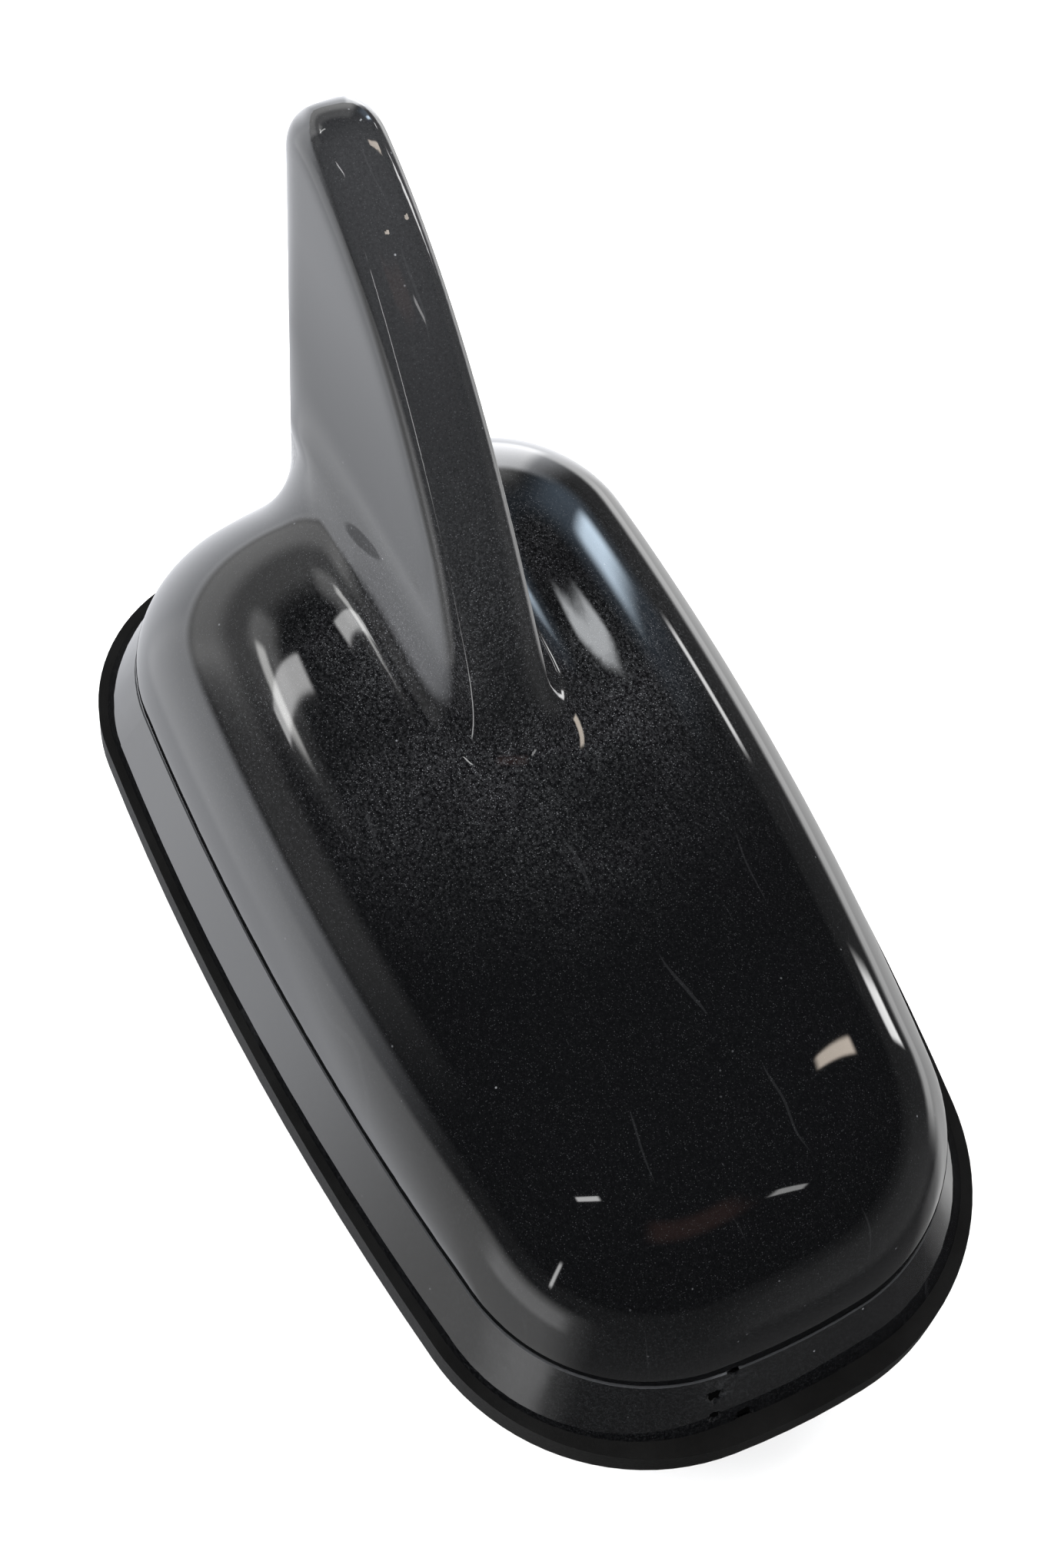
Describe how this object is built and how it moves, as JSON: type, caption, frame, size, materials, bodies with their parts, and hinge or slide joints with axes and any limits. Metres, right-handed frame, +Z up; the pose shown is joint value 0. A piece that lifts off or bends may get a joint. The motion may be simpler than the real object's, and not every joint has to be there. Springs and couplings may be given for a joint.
{
  "type": "shark fin aerial",
  "caption": "Roof aerial with a rounded gloss black plinth and a raked fin on a rubber seal, fixed by a hollow stud with a square key below.",
  "frame": {"origin": "centre of the square key on the stud axis, at the level of the roof seat under the seal", "axes": "+X to the front of the car, +Y to its left, +Z up out of the roof"},
  "size_m": [0.1085, 0.0628, 0.089],
  "materials": {
    "cover_paint": "gloss black with fine metallic flake",
    "cast_base": "as cast, matt",
    "seal_rubber": "matt black",
    "foam_ring": "closed-cell foam",
    "stud_steel": "zinc plated",
    "gland_rubber": "matt black",
    "board_laminate": "green solder mask",
    "patch_tape": "adhesive tape",
    "patch_body": "fired, matt",
    "patch_silver": "fired silver",
    "feed_brass": "plated",
    "shield_tin": "tinned",
    "chip_black": "moulded",
    "socket_brass": "gold flashed",
    "blade_laminate": "solder mask",
    "blade_copper": "copper foil",
    "holder_plastic": "moulded",
    "contact_bronze": "spring bronze",
    "screw_steel": "zinc plated"
  },
  "bodies": {
    "root": {"cover": "cover_paint", "base_plate": "cast_base", "perimeter_seal": "seal_rubber", "stud_seal": "foam_ring", "mounting_stud": "stud_steel", "cable_gland": "gland_rubber", "main_board": "board_laminate", "patch_pad": "patch_tape", "patch_ceramic": "patch_body", "patch_electrode": "patch_silver", "patch_feed_pin": "feed_brass", "shield_frame": "shield_tin", "shield_can": "shield_tin", "board_chips": "chip_black", "cable_sockets": "socket_brass", "phone_blade": "blade_laminate", "blade_radiator": "blade_copper", "blade_holder": "holder_plastic", "blade_contacts": "contact_bronze", "cover_screws": "screw_steel", "board_screws": "screw_steel"}
  },
  "joints": []
}
